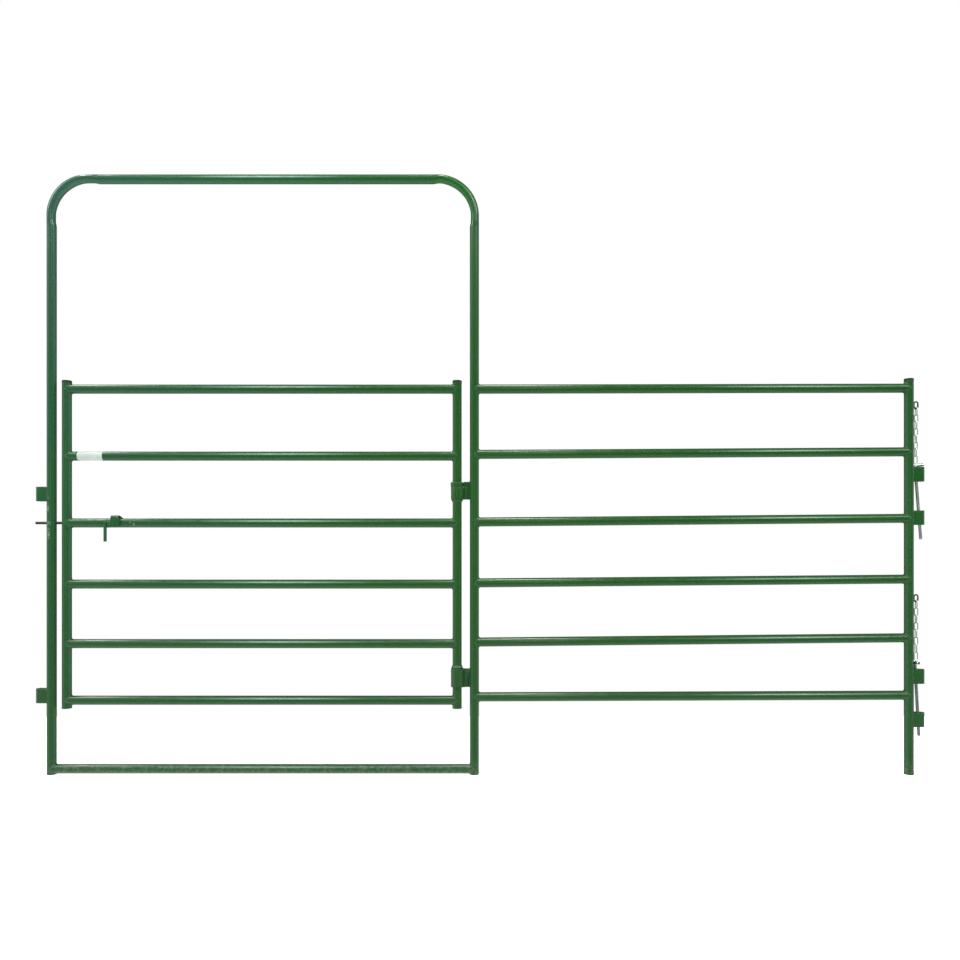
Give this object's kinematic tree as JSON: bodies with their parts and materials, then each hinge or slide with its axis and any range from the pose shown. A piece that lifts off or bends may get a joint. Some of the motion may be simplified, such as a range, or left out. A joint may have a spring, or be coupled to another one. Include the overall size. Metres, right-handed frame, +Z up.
{
  "type": "livestock gate panel",
  "caption": "Tubular steel livestock panel: a tall bow frame holding a swinging gate with a slide bolt, welded to a fixed rail panel with lugs and drop pins on chains.",
  "frame": {"origin": "centre of the middle leg's foot, at ground level", "axes": "+Z up, +X along the panel from the gate's side towards the end post, -Y towards the side that the latch is worked from"},
  "size_m": [3.707, 0.0653, 2.501],
  "materials": {
    "green_paint": "glossy dark green powder coat",
    "dark_cap": "dark satin cap",
    "zinc_chain": "bright zinc plating",
    "zinc_pin": "bright zinc plating"
  },
  "bodies": {
    "frame": {"bow_tube": "green_paint", "sill_rail": "green_paint", "panel_rail_1": "green_paint", "panel_rail_2": "green_paint", "panel_rail_3": "green_paint", "panel_rail_4": "green_paint", "panel_rail_5": "green_paint", "panel_rail_6": "green_paint", "end_post": "green_paint", "end_post_cap": "dark_cap", "end_post_foot": "green_paint", "upper_hinge_strap": "green_paint", "lower_hinge_strap": "green_paint", "left_lug_upper": "green_paint", "left_lug_lower": "green_paint", "right_lug_1": "green_paint", "right_lug_2": "green_paint", "right_lug_3": "green_paint", "right_lug_4": "green_paint", "upper_chain_anchor": "green_paint", "lower_chain_anchor": "green_paint", "upper_chain": "zinc_chain", "lower_chain": "zinc_chain"},
    "gate": {"gate_latch_stile": "green_paint", "gate_hinge_stile": "green_paint", "gate_rail_1": "green_paint", "gate_rail_2": "green_paint", "gate_rail_3": "green_paint", "gate_rail_4": "green_paint", "gate_rail_5": "green_paint", "gate_rail_6": "green_paint", "latch_stile_cap": "dark_cap", "hinge_stile_cap": "dark_cap", "latch_stile_foot": "green_paint", "hinge_stile_foot": "green_paint", "upper_hinge_collars": "green_paint", "lower_hinge_collar": "green_paint"},
    "latch_bolt": {"bolt_rod": "green_paint", "latch_saddle": "green_paint", "latch_handle": "green_paint"},
    "upper_pin": {"upper_pin": "zinc_pin"},
    "lower_pin": {"lower_pin": "zinc_pin"}
  },
  "joints": [
    {"name": "gate_swing", "type": "hinge", "parent": "frame", "child": "gate", "pos_m": [-0.072, 0, 1.181], "axis": [0, 0, 1], "range_deg": [-135, 135]},
    {"name": "latch_slide", "type": "slide", "parent": "gate", "child": "latch_bolt", "axis": [1, 0, 0], "range_m": [0, 0.108]},
    {"name": "upper_pin_lift", "type": "slide", "parent": "frame", "child": "upper_pin", "axis": [0, 0, 1], "range_m": [0, 0.215], "deforming": ["upper_chain"]},
    {"name": "lower_pin_lift", "type": "slide", "parent": "frame", "child": "lower_pin", "axis": [0, 0, 1], "range_m": [0, 0.215], "deforming": ["lower_chain"]}
  ]
}
